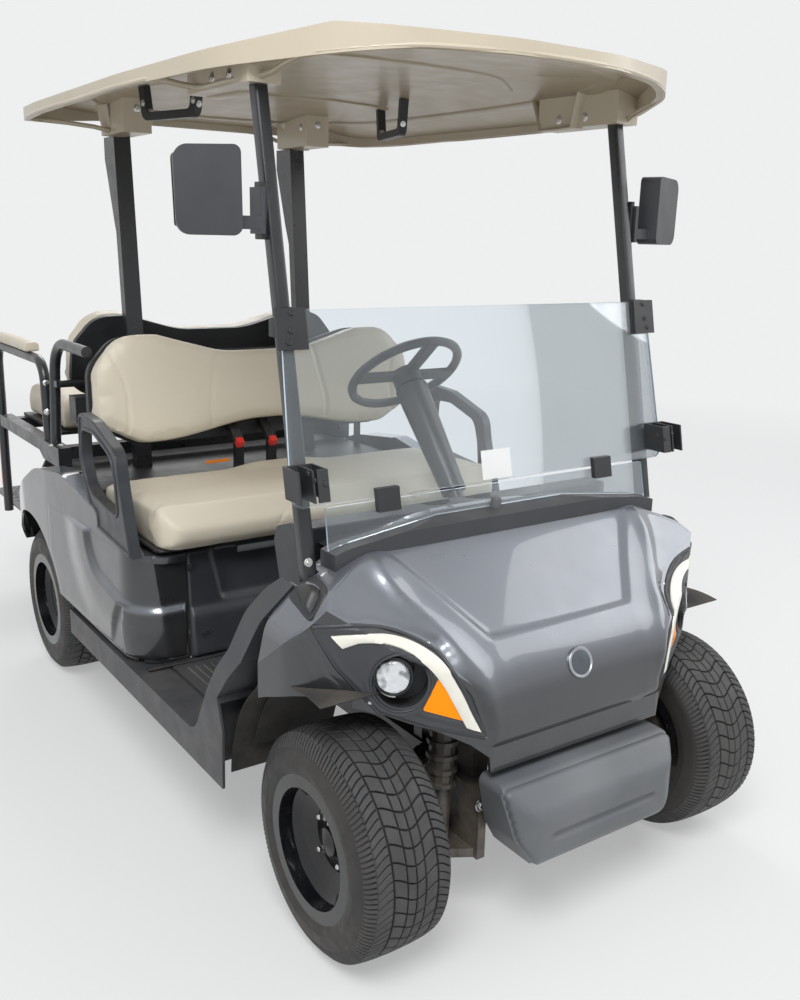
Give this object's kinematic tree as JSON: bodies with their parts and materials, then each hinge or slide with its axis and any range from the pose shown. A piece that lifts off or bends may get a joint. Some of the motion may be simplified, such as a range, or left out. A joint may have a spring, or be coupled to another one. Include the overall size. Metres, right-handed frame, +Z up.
{
  "type": "golf cart",
  "caption": "Four-seat golf cart with canopy, clear folding windshield, bench seat, rear-facing flip seat with footplate, steered front wheels and moulded nose with lamps",
  "frame": {"origin": "on the ground under the middle of the cart's length and width", "axes": "the cart drives towards -Y, +X is its left (the driver's side), +Z is up"},
  "size_m": [1.3222, 2.8495, 1.7634],
  "materials": {
    "body_paint": "metallic charcoal paint, clear coated, lightly dusty",
    "frame_paint": "black powder coat with dust and a little rust",
    "black_tube": "satin black paint on steel tube",
    "dark_plastic": "dark grey moulded plastic, fine grain",
    "grip_plastic": "black soft grip plastic",
    "battery_case": "black battery case",
    "axle_iron": "black cast and forged iron",
    "vinyl": "beige marine vinyl with sewn seams",
    "roof_plastic": "beige moulded roof plastic",
    "clear_glass": "clear acrylic",
    "lamp_bowl": "dark lamp bowl",
    "lamp_white": "cream white light strip",
    "amber": "amber reflector",
    "red_lens": "red lamp lens",
    "tyre": "black tyre rubber",
    "rim_paint": "gloss black steel rim"
  },
  "bodies": {
    "root": {"chassis_frame": "frame_paint", "floor_pan": "dark_plastic", "front_cowl": "body_paint", "front_bumper": "dark_plastic", "dash_panel": "dark_plastic", "side_trims": "dark_plastic", "rear_body": "body_paint", "rear_deck": "dark_plastic", "seat_kick_panel": "dark_plastic", "battery_pack": "battery_case", "rear_axle": "axle_iron", "rear_springs": "axle_iron", "front_suspension": "frame_paint", "steering_gear": "frame_paint", "pedals": "frame_paint", "front_seat_back": "vinyl", "front_back_shell": "dark_plastic", "hip_rails": "black_tube", "roof_shell": "roof_plastic", "front_posts": "black_tube", "rear_posts": "black_tube", "roof_handles": "dark_plastic", "windshield": "clear_glass", "windshield_clips": "dark_plastic", "mirror_housings": "dark_plastic", "headlamp_bezels": "dark_plastic", "headlamp_bowls": "lamp_bowl", "cowl_trim": "dark_plastic", "headlamp_lenses": "clear_glass", "light_strips": "lamp_white", "turn_signals": "amber", "rear_seat_frame": "black_tube", "rear_seat_back": "vinyl", "rear_back_shell": "dark_plastic", "armrest_pads": "vinyl", "footplate": "frame_paint", "seat_belts": "dark_plastic", "tail_lamps": "red_lens", "wheel_liners": "dark_plastic"},
    "steering_wheel": {"steering_wheel": "grip_plastic"},
    "tie_rods": {"tie_rods": "axle_iron"},
    "knuckle_left": {"knuckle_left": "axle_iron"},
    "knuckle_right": {"knuckle_right": "axle_iron"},
    "front_seat_lid": {"front_cushion": "vinyl", "front_seat_pan": "dark_plastic"},
    "rear_seat_flip": {"rear_cushion": "vinyl", "rear_seat_board": "black_tube"},
    "wheel_front_left": {"tyre_front_left": "tyre", "rim_front_left": "rim_paint"},
    "wheel_front_right": {"tyre_front_right": "tyre", "rim_front_right": "rim_paint"},
    "wheel_rear_left": {"tyre_rear_left": "tyre", "rim_rear_left": "rim_paint"},
    "wheel_rear_right": {"tyre_rear_right": "tyre", "rim_rear_right": "rim_paint"}
  },
  "joints": [
    {"name": "steering_turn", "type": "hinge", "parent": "root", "child": "steering_wheel", "pos_m": [0.25, -0.335, 1], "axis": [0, 0.6428, 0.766], "range_deg": [-360, 360]},
    {"name": "steer_left", "type": "hinge", "parent": "root", "child": "knuckle_left", "pos_m": [0.345, -1.175, 0.229], "axis": [0, 0, 1], "range_deg": [-31, 31]},
    {"name": "steer_right", "type": "hinge", "parent": "root", "child": "knuckle_right", "pos_m": [-0.345, -1.175, 0.229], "axis": [0, 0, 1], "range_deg": [-31, 31]},
    {"name": "rack_slide", "type": "slide", "parent": "root", "child": "tie_rods", "axis": [-1, 0, 0], "range_m": [-0.06, 0.06]},
    {"name": "spin_front_left", "type": "hinge", "parent": "knuckle_left", "child": "wheel_front_left", "pos_m": [0.445, -1.175, 0.229], "axis": [1, 0, 0], "continuous": true},
    {"name": "spin_front_right", "type": "hinge", "parent": "knuckle_right", "child": "wheel_front_right", "pos_m": [-0.445, -1.175, 0.229], "axis": [1, 0, 0], "continuous": true},
    {"name": "spin_rear_left", "type": "hinge", "parent": "root", "child": "wheel_rear_left", "pos_m": [0.47, 0.465, 0.229], "axis": [1, 0, 0], "continuous": true},
    {"name": "spin_rear_right", "type": "hinge", "parent": "root", "child": "wheel_rear_right", "pos_m": [-0.47, 0.465, 0.229], "axis": [1, 0, 0], "continuous": true},
    {"name": "front_seat_tip", "type": "hinge", "parent": "root", "child": "front_seat_lid", "pos_m": [0, -0.38, 0.602], "axis": [1, 0, 0], "range_deg": [0, 32]},
    {"name": "rear_seat_tip", "type": "hinge", "parent": "root", "child": "rear_seat_flip", "pos_m": [0, 1.042, 0.731], "axis": [-1, 0, 0], "range_deg": [0, 180]}
  ],
  "couplings": [
    {"joint": "steer_left", "follows": "steering_turn", "ratio": 0.083333},
    {"joint": "steer_right", "follows": "steering_turn", "ratio": 0.083333},
    {"joint": "rack_slide", "follows": "steering_turn", "m_per_rad": 0.008333}
  ]
}
